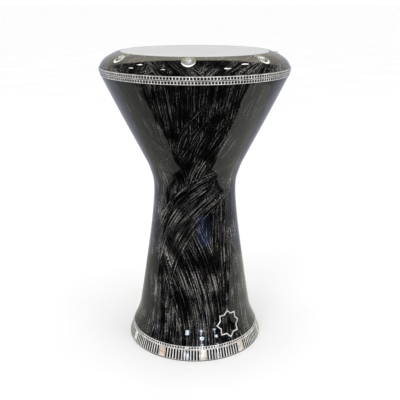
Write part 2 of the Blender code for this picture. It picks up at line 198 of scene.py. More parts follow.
STAR_ANGLE = 35.0
STAR_HEIGHT = 0.0480
STAR_RADIUS = 0.0215
STAR_LINE = 0.0017
STAR_STEPS = 8
STAR_LEVELS = (            # (share of the line's width, height), from outside to inside
    (0.0, 0.0), (0.04, 0.0004), (0.22, 0.0006), (0.78, 0.0006), (0.96, 0.0004), (1.0, 0.0),
)

SHELL_OUTLINE = [          # (radius, height), foot band to rim
    (0.1011, FOOT_BAND_TOP), (0.0941, 0.0380), (0.0890, 0.0580), (0.0796, 0.1180),
    (0.0682, 0.1980), (0.0641, 0.2530), (0.0703, 0.2830), (0.0818, 0.3080),
    (0.1119, 0.3680), (0.1395, 0.4250),
]
RING_OUTLINE = [           # (radius, height), head edge to bead strip
    (0.1110, HEIGHT), (0.1150, HEIGHT - 0.0012), (0.1220, HEIGHT - 0.0038),
    (0.1310, HEIGHT - 0.0089), (0.1370, HEIGHT - 0.0145), (0.1400, HEIGHT - 0.0195),
    (0.1413, RING_BAND_TOP + GAP),
]

# ------------------------------ brushed lacquer
BRISTLES = 520.0           # bristles to a metre of brush
SEED_STEP = 31.0           # gives each patch bristles of its own
SCRAMBLE = 437.5           # spreads the sines of the bristles' numbers evenly
RAGGED_ENDS = 0.07         # how much the ends of the strokes in a patch differ
RAGGED_SIDES = 0.012
SHELL_MEAN = 0.09          # radius used for strokes outside every patch
BOWL_BOTTOM = 0.34         # strokes on the back are steeper above this height
LINE_STRETCH = (640.0, 16.0, 7.3)    # broad strokes: scale across, along and between patches
HAIR_STRETCH = (1600.0, 34.0, 5.1)   # thin strokes
GRAIN_STRETCH = (1900.0, 560.0, 3.9)
LINE_STEP = (0.50, 0.66)   # noise levels where a stroke starts and where it is full
HAIR_STEP = (0.50, 0.72)
GRAIN_STEP = (0.36, 0.64, 0.22, 1.0)  # the same, then the strength at both
CLOUD_STEP = (0.30, 0.62, 0.30, 1.0)
LINE_SHARE = 0.88
HAIR_SHARE = 0.68
CONTRAST = 2.1
TINT_HEIGHTS = (0.20, 0.03)  # the scratches are more coloured towards the foot
SCRATCH_SILVER = (0.58, 0.555, 0.515, 1.0)
SCRATCH_BLUE = (0.20, 0.25, 0.42, 1.0)
GROUND_DARK = (0.0004, 0.0004, 0.0005, 1.0)
GROUND_LIGHT = (0.0016, 0.0016, 0.0019, 1.0)
# A blue reflection painted on the waist: its scratch colour, its ground colour and its place.
PAINTED_REFLECTION_SCRATCH = (0.26, 0.34, 0.60, 1.0)
PAINTED_REFLECTION_GROUND = (0.007, 0.010, 0.024, 1.0)
PAINTED_REFLECTION_PLACE = (11.0, 0.198, 0.0115, 0.024)  # angle, height, half width and half height
# bare milled edge at the pockets, painted near-white as a highlight
MILLED_HIGHLIGHT = (0.92, 0.90, 0.84, 1.0)
RIPPLE_STRETCH = (90.0, 90.0, 22.0)  # slow waves in the lacquer
RIPPLE_DEPTH = 0.00020
PEARL_WARP = (0.012, 0.012, 0.012)
PEARL_LAYERS = (60.0, 60.0, 420.0)
PEARL_WARM = ((0.46, 0.34, 0.26, 1.0), (0.74, 0.62, 0.54, 1.0))
PEARL_COOL = ((0.52, 0.50, 0.44, 1.0), (0.78, 0.76, 0.74, 1.0))

# Brush patches on the shell, laid over each other in this order:
# angle from the front, height, length, width, tilt of the strokes to the right, bend, fan.
FRONT_PATCHES = [
    (0, 0.385, 0.110, 0.190, 1, 0.0, 0.0),
    (-58, 0.375, 0.120, 0.110, -5, 0.0, 0.0),
    (55, 0.370, 0.130, 0.100, 6, 0.0, 0.0),
    (34, 0.300, 0.120, 0.070, 12, 1.5, 0.0),
    (6, 0.300, 0.130, 0.075, 8, -2.5, 0.0),
    (0, 0.262, 0.100, 0.080, 14, -2.0, 0.0),
    (-32, 0.300, 0.120, 0.050, -24, 5.0, 0.0),
    (-46, 0.180, 0.150, 0.060, 6, 0.0, 0.0),
    (30, 0.165, 0.120, 0.060, 2, 0.0, 0.0),
    (-34, 0.080, 0.130, 0.080, -3, 0.0, 0.0),
    (42, 0.080, 0.120, 0.080, 4, 0.0, 0.0),
    (24, 0.190, 0.110, 0.055, 2, 0.0, 1.5),
    (2, 0.115, 0.190, 0.080, -17, 2.0, 2.5),
    (-14, 0.228, 0.135, 0.054, 40, -3.5, 0.0),
]


# ------------------------------ curves and sections
def direction(angle):
    a = math.radians(angle)
    return Vector((math.sin(a), -math.cos(a), 0.0))


def at(radius, angle, height):
    return direction(angle) * radius + Vector((0.0, 0.0, height))


def spline(points, steps):
    vectors = [Vector(p) for p in points]
    padded = [vectors[0] * 2.0 - vectors[1], *vectors, vectors[-1] * 2.0 - vectors[-2]]
    curve = []
    for i in range(len(vectors) - 1):
        a, b, c, d = padded[i:i + 4]
        for k in range(steps):
            t = k / steps
            curve.append(0.5 * (2.0 * b + (c - a) * t + (2.0 * a - 5.0 * b + 4.0 * c - d) * t * t
                                + (3.0 * b - a - 3.0 * c + d) * t ** 3))
    curve.append(vectors[-1])
    return curve


def inset(curve, distance):
    moved = []
    for i, point in enumerate(curve):
        along = (curve[min(i + 1, len(curve) - 1)] - curve[max(i - 1, 0)]).normalized()
        moved.append(point + Vector((-along.y, along.x)) * distance)
    return moved


def rounded(corners, steps=3):
    """Round a closed section of (radius, height, fillet) corners into (radius, height) points."""
    points = []
    count = len(corners)
    for i, (r, z, fillet) in enumerate(corners):
        here = Vector((r, z))
        if fillet <= 0.0:
            points.append((r, z))
            continue
        before = Vector(corners[i - 1][:2]) - here
        after = Vector(corners[(i + 1) % count][:2]) - here
        start = here + before.normalized() * min(fillet, before.length * FILLET_SHARE)
        end = here + after.normalized() * min(fillet, after.length * FILLET_SHARE)
        for k in range(steps + 1):
            t = k / steps
            p = start * (1 - t) ** 2 + here * 2 * t * (1 - t) + end * t * t
            points.append((p.x, p.y))
    return points


# ------------------------------ meshes
def add_object(name, data):
    obj = bpy.data.objects.new(name, data)
    bpy.context.scene.collection.objects.link(obj)
    return obj


def smooth(mesh, sharp=SMOOTH):
    mesh.shade_smooth()
    mesh.set_sharp_from_angle(angle=math.radians(sharp))


def finish_mesh(name, bm, materials, sharp=SMOOTH):
    mesh = bpy.data.meshes.new(name)
    bm.to_mesh(mesh)
    bm.free()
    for material in materials:
        mesh.materials.append(material)
    smooth(mesh, sharp)
    return add_object(name, mesh)


def bridge(bm, low, high, index=0):
    """Faces between two closed loops of vertices; a loop of one vertex is a tip."""
    count = max(len(low), len(high))
    for i in range(count):
        j = (i + 1) % count
        if len(low) == 1:
            face = bm.faces.new((low[0], high[j], high[i]))
        elif len(high) == 1:
            face = bm.faces.new((low[i], low[j], high[0]))
        else:
            face = bm.faces.new((low[i], low[j], high[j], high[i]))
        face.material_index = index


def finish_solid(name, bm, materials, sharp=SMOOTH):
    """Finish a closed piece, with its faces turned outward."""
    bmesh.ops.recalc_face_normals(bm, faces=bm.faces)
    return finish_mesh(name, bm, materials, sharp)


def tube(bm, loops, index=0):
    """Faces along a row of loops of vertices, with both ends closed."""
    for low, high in zip(loops, loops[1:]):
        bridge(bm, low, high, index)
    for cap in (loops[0][::-1], loops[-1]):
        bm.faces.new(cap).material_index = index


def turned(bm, section, index_of=None, columns=FINE, closed=True):
    """Spin a section of (radius, height) points round the axis. index_of picks a material."""
    loops = []
    for r, z in section:
        steps = columns if r > ON_AXIS else 1
        loops.append([bm.verts.new(at(r, FIRST_SCREW + 360.0 * i / columns, z))
                      for i in range(steps)])
    pairs = list(zip(loops, loops[1:]))
    if closed:
        pairs.append((loops[-1], loops[0]))
    for k, (low, high) in enumerate(pairs):
        a, b = section[k], section[(k + 1) % len(section)]
        bridge(bm, low, high, index_of(a, b) if index_of else 0)


def turned_piece(name, section, materials, index_of=None, closed=True):
    bm = bmesh.new()
    turned(bm, section, index_of, closed=closed)
    return finish_solid(name, bm, materials)


def swept(bm, section, start, end, steps):
    """Sweep a section round part of the axis; both ends close with a small bevel."""
    middle = sum((Vector(p) for p in section), Vector((0.0, 0.0))) / len(section)
    degrees = math.degrees(END_BEVEL / middle.x)
    small = [Vector(p).lerp(middle, min(BEVEL_SHARE, END_BEVEL / (Vector(p) - middle).length))
             for p in section]
    span = end - start - 2 * degrees
    stops = [(start, small)]
    stops += [(start + degrees + span * k / steps, section) for k in range(steps + 1)]
    stops.append((end, small))
    tube(bm, [[bm.verts.new(at(r, angle, z)) for r, z in points] for angle, points in stops])


def plate(bm, outline, radius_at, angle, height):
    """A small inlaid plate: an outline of (across, up) points wrapped on the turned surface."""
    loops = []
    for scale, lift in PLATE_LEVELS:
        loop = []
        for across, up in outline:
            z = height + up * scale
            r = radius_at(z)
            loop.append(bm.verts.new(at(r + lift, angle + math.degrees(across * scale / r), z)))
        loops.append(loop)
    tube(bm, loops, SECOND)


def rounded_rectangle(width, height, radius, steps=3):
    points = []
    for cx, cy, turn in ((1, 1, 0), (-1, 1, 90), (-1, -1, 180), (1, -1, 270)):
        for k in range(steps + 1):
            a = math.radians(turn + 90.0 * k / steps)
            points.append((cx * (width / 2 - radius) + radius * math.cos(a),
                           cy * (height / 2 - radius) + radius * math.sin(a)))
    return points


def screw_angles():
    return [FIRST_SCREW + 360.0 * i / SCREWS for i in range(SCREWS)]


def posts(name, radius, bottom, top, sides, materials):
    """A round post at every screw, in the second material: bosses, or cutters for holes."""
    bm = bmesh.new()
    for angle in screw_angles():
        centre = direction(angle) * SCREW_CIRCLE
        around = [direction(angle + 360.0 * i / sides) * radius for i in range(sides)]
        tube(bm, [[bm.verts.new(centre + out + Vector((0, 0, z))) for out in around]
                  for z in (bottom, top)], SECOND)
    return finish_solid(name, bm, materials)


def cut(obj, operations):
    """Apply exact Booleans for (operation, operand) pairs and remove the operands."""
    for operation, operand in operations:
        modifier = obj.modifiers.new(operand.name, "BOOLEAN")
        modifier.operation = operation
        modifier.solver = "EXACT"
        modifier.object = operand
    graph = bpy.context.evaluated_depsgraph_get()
    mesh = bpy.data.meshes.new_from_object(obj.evaluated_get(graph))
    obj.modifiers.clear()
    obj.data = mesh
    for _, operand in operations:
        bpy.data.objects.remove(operand)
    smooth(mesh)


# ------------------------------ material graphs
class Graph:
    """Short calls for building a shader tree in dependency order."""

    def __init__(self, tree):
        self.tree = tree
        tree.nodes.clear()

    def node(self, kind, **values):
        node = self.tree.nodes.new("ShaderNode" + kind)
        for key, value in values.items():
            setattr(node, key, value)
        return node

    def put(self, socket, value):
        if isinstance(value, bpy.types.NodeSocket):
            self.tree.links.new(value, socket)
        elif value is not None:
            socket.default_value = value

    def named(self, node, values):
        for name, value in values.items():
            self.put(node.inputs[name], value)
        return node.outputs[0]

    def fill(self, node, values):
        for socket, value in zip(node.inputs, values):
            self.put(socket, value)
        return node.outputs[0]

    def math(self, operation, a, b=None, c=None, clamp=False):
        node = self.node("Math", operation=operation, use_clamp=clamp)
        return self.fill(node, (a, b, c))

    def times(self, a, b, clamp=False):
        return self.math("MULTIPLY", a, b, clamp=clamp)

    def minus(self, a, b):
        return self.math("SUBTRACT", a, b)

    def vector(self, operation, a, b=None):
        node = self.node("VectorMath", operation=operation)
        self.fill(node, (a, b))
        return node.outputs["Value" if operation in ("DOT_PRODUCT", "LENGTH") else "Vector"]

    def xyz(self, x, y, z):
        return self.fill(self.node("CombineXYZ"), (x, y, z))

    def split(self, vector):
        node = self.node("SeparateXYZ")
        self.put(node.inputs[0], vector)
        return tuple(node.outputs)

    def noise(self, vector, scale=1.0, detail=2.0, roughness=0.5, colour=False):
        node = self.node("TexNoise", noise_dimensions="3D")
        self.named(node, {"Vector": vector, "Scale": scale, "Detail": detail,
                          "Roughness": roughness})
        return node.outputs["Color" if colour else "Fac"]

    def step(self, value, low, high, to_low=0.0, to_high=1.0):
        """Smooth step of a value from low to high."""
        node = self.node("MapRange", interpolation_type="SMOOTHSTEP")
        return self.fill(node, (value, low, high, to_low, to_high))

    def mix(self, factor, a, b, kind="RGBA"):
        node = self.node("Mix", data_type=kind)
        for socket, value in zip([s for s in node.inputs if s.enabled], (factor, a, b)):
            self.put(socket, value)
        return next(s for s in node.outputs if s.enabled)

    def stretch(self, vector, x, y, z):
        return self.vector("MULTIPLY", vector, (x, y, z))

    def bump(self, height, depth):
        node = self.node("Bump")
        return self.named(node, {"Strength": 1.0, "Distance": depth, "Height": height})

    def output(self, shader, kind="OutputMaterial"):
        self.put(self.node(kind).inputs["Surface"], shader.outputs[0])


def material_graph(name):
    material = bpy.data.materials.new(name)
    material.use_nodes = True
    graph = Graph(material.node_tree)
    place = graph.node("TexCoord").outputs["Object"]
    return material, graph, place


def principled(graph, colour, roughness, bump=None, bump_depth=0.0, metallic=0.0, specular=0.5,
               coat=0.0, coat_roughness=0.03):
    """The surface shader. Colour, roughness and bump may be node outputs."""
    shader = graph.node("BsdfPrincipled")
    if bump is not None:
        bump = graph.bump(bump, bump_depth)
    graph.named(shader, {"Normal": bump, "Base Color": colour, "Roughness": roughness,
                         "Metallic": metallic, "Specular IOR Level": specular,
                         "Coat Weight": coat, "Coat Roughness": coat_roughness})
    graph.output(shader)
    return shader


# ------------------------------ lacquer over brushed strokes
def brush_patch(graph, turn, up, current, patch, seed):
    """Lay one patch of strokes over the current (across, along, seed) coordinates."""
    angle, height, length, width, tilt, bend, fan = patch
    radius = surface_radius(height)
    theta = math.radians(tilt)
    across = graph.minus(turn, math.radians(angle))
    across = graph.math("WRAP", across, math.pi, -math.pi)
    across = graph.times(across, radius)
    flat = graph.xyz(across, up, 0.0)
    place = graph.node("Mapping", vector_type="POINT")
    origin = (height * math.sin(theta), -height * math.cos(theta), 0.0)
    graph.named(place, {"Vector": flat, "Location": origin, "Rotation": (0.0, 0.0, theta)})
    s, t, _ = graph.split(place.outputs[0])
    s = graph.math("MULTIPLY_ADD", graph.times(t, t), bend, s)
    s = graph.math("DIVIDE", s, graph.math("MULTIPLY_ADD", t, fan, 1.0))
    bristle = graph.math("FLOOR", graph.math("MULTIPLY_ADD", s, BRISTLES, seed * SEED_STEP))
    ragged = graph.math("FRACT", graph.times(graph.math("SINE", bristle), SCRAMBLE))
    spare = graph.minus(length / 2.0, graph.math("ABSOLUTE", t))
    spare = graph.math("MULTIPLY_ADD", graph.minus(ragged, 0.5), RAGGED_ENDS, spare)
    side = graph.minus(width / 2.0, graph.math("ABSOLUTE", s))
    side = graph.math("MULTIPLY_ADD", graph.minus(ragged, 0.5), RAGGED_SIDES, side)
    inside = graph.math("GREATER_THAN", graph.math("MINIMUM", spare, side), 0.0)
    return graph.mix(inside, current, graph.xyz(s, t, seed), kind="VECTOR")


def surface_radius(height):
    """Outside radius of the shell at a height; above the joint, the ring's radius."""
    if height > SHELL_BAND_TOP:
        return RING_MIDDLE
    for low, high in zip(OUTSIDE, OUTSIDE[1:]):
        if low.y <= height <= high.y:
            return low.x + (high.x - low.x) * (height - low.y) / (high.y - low.y)
    return OUTSIDE[0].x


OUTSIDE = spline(SHELL_OUTLINE, 10)


def milled_rim_highlight(graph, turn, radius):
    """One on the outer edge of each screw pocket, where milling has left bare metal, painted
    near-white as a highlight.
    """
    part = math.pi / SCREWS
    turn = graph.math("WRAP", graph.minus(turn, math.radians(FIRST_SCREW)), part, -part)
    across = graph.times(graph.math("SINE", turn), radius)
    out = graph.times(graph.math("COSINE", turn), radius)
    out = graph.minus(out, SCREW_CIRCLE + RIM_SHIFT)
    reach = graph.vector("LENGTH", graph.xyz(across, out, 0.0))
    return graph.step(reach, RIM_RADIUS + RIM_SOFT, RIM_RADIUS - RIM_SOFT)


def painted_blue_reflection(graph, turn, radius, z, cloud):
    """One in the place on the waist where a blue reflection is painted over the scratches and the
    ground.
    """
    angle, height, half_width, half_height = PAINTED_REFLECTION_PLACE
    across = graph.times(graph.minus(turn, math.radians(angle)), radius)
    painted_reflection = graph.step(graph.math("ABSOLUTE", across), half_width + 0.003, half_width - 0.005)
    away = graph.math("ABSOLUTE", graph.minus(z, height))
    edge = graph.step(away, half_height + 0.005, half_height - 0.008)
    painted_reflection = graph.times(painted_reflection, edge)
    return graph.times(painted_reflection, graph.step(cloud, 0.36, 0.60, 0.25, 1.0))


def strokes(graph, current, stretch, fineness, **settings):
    """Noise drawn out along the strokes; fineness narrows it across them."""
    across, along, apart = stretch
    return graph.noise(graph.stretch(current, across * fineness, along, apart), **settings)


def lacquer(name, patches, slope, fade, fineness, milled_highlight=False):
    """Black ground scratched by a brush in patches of strokes, under a clear glossy lacquer."""
    material, graph, place = material_graph(name)
    x, y, z = graph.split(place)
    turn = graph.math("ARCTAN2", x, graph.times(y, -1.0))
    radius = graph.vector("LENGTH", graph.xyz(x, y, 0.0))
    up = graph.math("MULTIPLY_ADD", radius, -slope, z)
    current = graph.xyz(graph.times(turn, SHELL_MEAN), up, 0.0)
    for number, patch in enumerate(patches, start=1):
        current = brush_patch(graph, turn, up, current, patch, float(number))
    lines = strokes(graph, current, LINE_STRETCH, fineness, roughness=0.6)
    hairs = strokes(graph, current, HAIR_STRETCH, fineness, detail=1.0)
    grain = strokes(graph, current, GRAIN_STRETCH, 1.0, detail=1.0)
    cloud = graph.noise(place, scale=34.0, detail=2.0)
    lines = graph.step(lines, *LINE_STEP)
    hairs = graph.step(hairs, *HAIR_STEP)
    strength = graph.math("MULTIPLY_ADD", hairs, HAIR_SHARE,
                          graph.times(lines, LINE_SHARE))
    strength = graph.times(strength, graph.step(grain, *GRAIN_STEP))
    strength = graph.times(strength, graph.step(cloud, *CLOUD_STEP))
    strength = graph.math("POWER", strength, CONTRAST)
    strength = graph.times(strength, graph.step(z, *fade, 1.0), clamp=True)
    tint = graph.noise(place, scale=300.0, detail=1.0, colour=True)
    low = graph.step(z, *TINT_HEIGHTS)
    silver = graph.mix(graph.math("MULTIPLY_ADD", low, 0.35, 0.06), SCRATCH_SILVER, tint)
    blue = graph.step(graph.noise(place, scale=26.0, detail=1.0), 0.58, 0.68)
    silver = graph.mix(graph.times(blue, 0.30), silver, SCRATCH_BLUE)
    # painted blue reflection on the waist, over the scratches and the ground
    painted_reflection = painted_blue_reflection(graph, turn, radius, z, cloud)
    silver = graph.mix(graph.times(painted_reflection, 0.6), silver, PAINTED_REFLECTION_SCRATCH)
    ground = graph.mix(graph.step(cloud, 0.35, 0.7), GROUND_DARK, GROUND_LIGHT)
    ground = graph.mix(painted_reflection, ground, PAINTED_REFLECTION_GROUND)
    colour = graph.mix(strength, ground, silver)
    # bare milled edges at the screw pockets, painted near-white as a highlight
    if milled_highlight:
        colour = graph.mix(milled_rim_highlight(graph, turn, radius), colour, MILLED_HIGHLIGHT)
    rough = graph.math("MULTIPLY_ADD", strength, 0.15, 0.32)
    ripple = graph.noise(graph.stretch(place, *RIPPLE_STRETCH), detail=2.0)
    shader = principled(graph, colour, rough, specular=0.0, coat=1.0, coat_roughness=0.025)
    graph.put(shader.inputs["Coat Normal"], graph.bump(ripple, RIPPLE_DEPTH))
    return material


def back_patches():
    """Patches round the sides and back, in the same manner as the front."""
    rng = random.Random(11)
    patches = []
    for height in (0.375, 0.300, 0.235, 0.165, 0.085):
        tilts = (-24, -12, 2, 6, 18, 34) if height < BOWL_BOTTOM else (-8, -2, 4, 9)
        for angle in range(80, 300, 44):
            tilt = rng.choice(tilts)
            patches.append((angle + rng.uniform(-12, 12), height + rng.uniform(-0.02, 0.02),
                            rng.uniform(0.10, 0.16), rng.uniform(0.06, 0.10), tilt,
                            rng.uniform(-3.0, 3.0), 0.0))
    rng.shuffle(patches)
    return patches


def ring_patches():
    """Short crossing strokes all round the ring."""
    rng = random.Random(4)
    middle = RING_BAND_TOP + 0.012 - RING_MIDDLE * RING_SLOPE
    count = 18
    return [(k * 360.0 / count + rng.uniform(-5, 5), middle + rng.uniform(-0.003, 0.003),
             rng.uniform(0.05, 0.08), rng.uniform(0.03, 0.05),
             rng.choice((-1, 1)) * rng.uniform(28, 55), rng.uniform(-4, 4), 0.0)
            for k in range(count)]


# ------------------------------ the other materials
def mottled(name, dark, light, scale, rough, spread, grain, depth, metallic=0.0, coat=0.0,
            specular=0.5):
    """A finish that varies a little in colour and roughness, with a fine grain.

    scale and grain are the sizes of the clouds and the grain, depth is the grain's depth.
    """
    material, graph, place = material_graph(name)
    cloud = graph.noise(place, scale=scale, detail=4.0, roughness=0.6)
    fine = graph.noise(place, scale=grain, detail=2.0)
    colour = graph.mix(graph.step(cloud, 0.3, 0.7), (*dark, 1.0), (*light, 1.0))
    roughness = graph.math("MULTIPLY_ADD", fine, spread, rough - spread / 2.0)
    principled(graph, colour, roughness, bump=fine, bump_depth=depth, metallic=metallic,
               coat=coat, specular=specular)
    return material


def turned_metal(name, dark, light, rough, metallic):
    """Bare metal with the fine rings that a cutter leaves."""
    material, graph, place = material_graph(name)
    cloud = graph.noise(place, scale=900.0, detail=2.0)
    rings = graph.noise(graph.stretch(place, 200.0, 200.0, 4200.0), detail=2.0)
    colour = graph.mix(graph.step(cloud, 0.3, 0.7), (*dark, 1.0), (*light, 1.0))
    roughness = graph.math("MULTIPLY_ADD", rings, 0.18, rough)
    principled(graph, colour, roughness, bump=rings, bump_depth=0.00002, metallic=metallic)
    return material


def pearl(name):
    """Mother-of-pearl: pale layered bands that drift between pink, cream and grey-green."""
    material, graph, place = material_graph(name)
    warp = graph.noise(place, scale=60.0, detail=3.0, colour=True)
    bent = graph.vector("ADD", place, graph.stretch(warp, *PEARL_WARP))
    bands = graph.noise(graph.stretch(bent, *PEARL_LAYERS), detail=3.0, roughness=0.6)
    drift = graph.noise(place, scale=75.0, detail=2.0)
    warm = graph.mix(graph.step(bands, 0.35, 0.65), *PEARL_WARM)
    cool = graph.mix(graph.step(bands, 0.40, 0.60), *PEARL_COOL)
    colour = graph.mix(graph.step(drift, 0.42, 0.60), warm, cool)
    rough = graph.math("MULTIPLY_ADD", bands, 0.16, 0.14)
    principled(graph, colour, rough, bump=bands, bump_depth=0.00003, coat=0.8)
    return material


def make_materials():
    return {
        "black_lacquer": lacquer("black_lacquer_brushed", back_patches() + FRONT_PATCHES,
                                 slope=0.0, fade=(0.33, 0.21, 0.26), fineness=1.3),
        "ring_lacquer": lacquer("ring_lacquer_brushed", ring_patches(), slope=RING_SLOPE,
                                fade=(0.0, 0.1, 0.75), fineness=1.9, milled_highlight=True),
        "white_film": mottled("white_film_frosted", (0.60, 0.60, 0.61), (0.645, 0.645, 0.65),
                              scale=22.0, rough=0.42, spread=0.12, grain=1500.0, depth=0.00002,
                              specular=0.2),
        "cast": mottled("cast_aluminium_inside", (0.20, 0.20, 0.20), (0.34, 0.33, 0.32),
                        scale=60.0, rough=0.55, spread=0.25, grain=700.0, depth=0.00012,
                        metallic=0.85),
        "bare_aluminium": turned_metal("bare_aluminium_turned", (0.44, 0.42, 0.33),
                                       (0.80, 0.77, 0.66), rough=0.24, metallic=0.45),
        "cured_resin": mottled("cured_resin_amber", (0.34, 0.22, 0.09), (0.52, 0.38, 0.18),
                               scale=120.0, rough=0.35, spread=0.15, grain=900.0, depth=0.00003,
                               coat=0.3),
        "zinc_steel": mottled("zinc_steel_bright", (0.76, 0.76, 0.77), (0.95, 0.95, 0.96),
                              scale=300.0, rough=0.20, spread=0.12, grain=1800.0, depth=0.00001,
                              metallic=0.55),
        "strip": mottled("strip_silver_white", (0.44, 0.43, 0.41), (0.84, 0.82, 0.80),
                         scale=90.0, rough=0.28, spread=0.14, grain=1100.0, depth=0.00001,
                         coat=0.8),
        "dot": mottled("inlay_black", (0.0004, 0.0004, 0.0004), (0.0016, 0.0016, 0.0016),
                       scale=200.0, rough=0.5, spread=0.1, grain=1500.0, depth=0.00001,
                       specular=0.0, coat=0.9),
        "pearl": pearl("mother_of_pearl_layered"),
        "silver": mottled("silver_inlay_worn", (0.62, 0.61, 0.59), (0.86, 0.85, 0.83),
                          scale=160.0, rough=0.30, spread=0.16, grain=1300.0, depth=0.00001,
                          metallic=0.25),
    }


# ------------------------------ pieces
def foot_radius(height):
    return FOOT_RADIUS - FOOT_TAPER * height


def make_shell(paint):
    both = (paint["black_lacquer"], paint["cast"])
    rim = SHELL_OUTLINE[-1][0]
    rim_groove = SHELL_BAND_TOP - BAND_HEIGHT - GAP
    flange_under = FLANGE_TOP - FLANGE_THICK
    foot = FOOT_RADIUS - GAP
    corners = [
        (FOOT_RADIUS - WALL - 0.0006, 0.0, EDGE),
        (foot, 0.0, EDGE * 0.6),
        (foot, FOOT_LIP, EDGE * 0.4),
        (foot_radius(FOOT_LIP) - GROOVE, FOOT_LIP, 0.0),
        (foot_radius(FOOT_BAND_TOP) - GROOVE, FOOT_BAND_TOP, 0.0),
    ]
    corners += [(p.x, p.y, EDGE if i == 0 else 0.0) for i, p in enumerate(OUTSIDE[:-1])]
    corners += [
        (rim, rim_groove, EDGE),
        (rim - GROOVE, rim_groove, 0.0),
        (rim - GROOVE + RIM_SLANT, FLANGE_TOP, EDGE),
        (COLLAR_OUTER, FLANGE_TOP, EDGE),
        (COLLAR_OUTER, BEARING_TOP - 0.0001, 0.0012),
        (COLLAR_OUTER - BEARING_WIDTH, BEARING_TOP - 0.0003, 0.0010),
        (COLLAR_INNER, BEARING_TOP - BEARING_DROP, 0.0012),
        (COLLAR_INNER, flange_under, 0.0012),
        (FLANGE_INNER, flange_under, 0.0015),
    ]
    inside = [p for p in inset(OUTSIDE, WALL) if p.y < flange_under - FLANGE_FLARE]
    corners += [(p.x, p.y, 0.0) for p in reversed(inside)]

    def index_of(a, b):
        middle = (a[1] + b[1]) / 2.0
        outer = surface_radius(middle) if middle > FOOT_BAND_TOP else foot_radius(middle)
        on_wall = (a[0] + b[0]) / 2.0 > outer - SHELL_SKIN
        return 0 if on_wall or middle > FLANGE_TOP - 0.0001 else SECOND

    shell = turned_piece("drum_body", rounded(corners, 4), both, index_of)
    bosses = posts("bosses", BOSS_RADIUS, BOSS_BOTTOM, FLANGE_TOP - OVERLAP, 36, both)
    holes = posts("tapped_holes", SHANK_HOLE, BOSS_BOTTOM - OVERLAP, FLANGE_TOP + OVERLAP, 32, both)
    cut(shell, (("UNION", bosses), ("DIFFERENCE", holes)))
    settle(shell, "drum_shell", "shell")


def make_ring(paint):
    both = (paint["ring_lacquer"], paint["bare_aluminium"])
    shoulder = HOOP_TOP + GAP
    groove = RING_OUTLINE[-1][0] - RING_BAND_PROUD
    outside = spline(RING_OUTLINE, 8)
    corners = [
        (THROAT, THROAT_TOP, 0.0003),
        (THROAT, THROAT_BOTTOM, 0.0006),
        (SHOULDER_INNER, SHOULDER_START, 0.0006),
        (SHOULDER_INNER, shoulder, 0.0003),
        (HOOP_POCKET, shoulder, 0.0003),
        (HOOP_POCKET, SKIRT[0][1], 0.0002),
    ]
    corners += [(r, z, 0.0015) for r, z in SKIRT]
    corners += [
        (SKIRT[-1][0], RING_BOTTOM, 0.0005),
        (groove - RING_BAND_LEAN, RING_BOTTOM, 0.0003),
        (groove, RING_BAND_TOP + GAP, 0.0),
    ]
    corners += [(p.x, p.y, 0.0008 if i in (0, len(outside) - 1) else 0.0)
                for i, p in enumerate(reversed(outside))]

    def index_of(a, b):
        middle = Vector(((a[0] + b[0]) / 2.0, (a[1] + b[1]) / 2.0))
        near = min((p - middle).length for p in outside)
        return 0 if near < RING_SKIN else SECOND

    ring = turned_piece("ring_body", rounded(corners, 4), both, index_of)
    pockets = posts("pockets", POCKET_RADIUS, SEAT, HEIGHT + OVERLAP, 64, both)
    holes = posts("clearance", CLEARANCE_HOLE, HOOP_TOP - 0.003, SEAT + OVERLAP, 32, both)
    cut(ring, (("DIFFERENCE", pockets), ("DIFFERENCE", holes)))
    settle(ring, "ring", "tension_ring")


def make_film(paint):
    inner = HEAD_RADIUS - FILM
    under = HEIGHT - FILM
    edge_inner = FILM_EDGE - FILM
    film = rounded([
        (HEAD_RADIUS, HEIGHT, 0.0012),
        (HEAD_RADIUS, FLARE_TOP, 0.0010),
        (FILM_EDGE, FLARE_BOTTOM, 0.0010),
        (FILM_EDGE, FILM_EDGE_BOTTOM, 0.0),
        (edge_inner, FILM_EDGE_BOTTOM, 0.0),
        (edge_inner, FLARE_BOTTOM + FLARE_RISE, 0.0010),
        (inner, FLARE_TOP + FLARE_RISE, 0.0010),
        (inner, under, 0.0011),
    ], 5)
    top = [(0.0, HEIGHT)] + [(r, HEIGHT) for r in HEAD_RINGS]
    bottom = [(r, under) for r in reversed(HEAD_RINGS)] + [(0.0, under)]
    section = top + film + bottom
    piece = turned_piece("playing_head", section, (paint["white_film"],), closed=False)
    settle(piece, "head", "head_film")


def make_hoop(paint):
    """The U channel that holds the film's edge, and the resin in it."""
    floor = HOOP_BOTTOM + HOOP_METAL
    outer, inner = HOOP_OUTER - HOOP_METAL, HOOP_INNER + HOOP_METAL
    hoop = rounded([
        (HOOP_INNER, HOOP_BOTTOM, 0.0006),
        (HOOP_OUTER, HOOP_BOTTOM, 0.0006),
        (HOOP_OUTER, HOOP_TOP, 0.0002),
        (outer, HOOP_TOP, 0.0002),
        (outer, floor, 0.0003),
        (inner, floor, 0.0003),
        (inner, HOOP_TOP - HOOP_METAL, 0.0002),
        (HOOP_INNER, HOOP_TOP - HOOP_METAL, 0.0002),
    ], 4)
    piece = turned_piece("hoop_channel", hoop, (paint["bare_aluminium"],))
    settle(piece, "head", "head_hoop")

    left, right = inner + GAP, outer - GAP
    bottom = floor + GAP
    slot_out, slot_in = FILM_EDGE + GAP, FILM_EDGE - FILM - GAP
    slot_low = FILM_EDGE_BOTTOM - GAP
    resin = rounded([
        (left, bottom, 0.0003), (right, bottom, 0.0003), (right, RESIN_TOP, 0.0004),
        (slot_out, RESIN_TOP, 0.0003), (slot_out, slot_low, 0.0), (slot_in, slot_low, 0.0),
        (slot_in, RESIN_TOP, 0.0003), (left, RESIN_TOP, 0.0004),
    ], 4)
    piece = turned_piece("resin_bead", resin, (paint["cured_resin"],))
    settle(piece, "head", "hoop_resin")


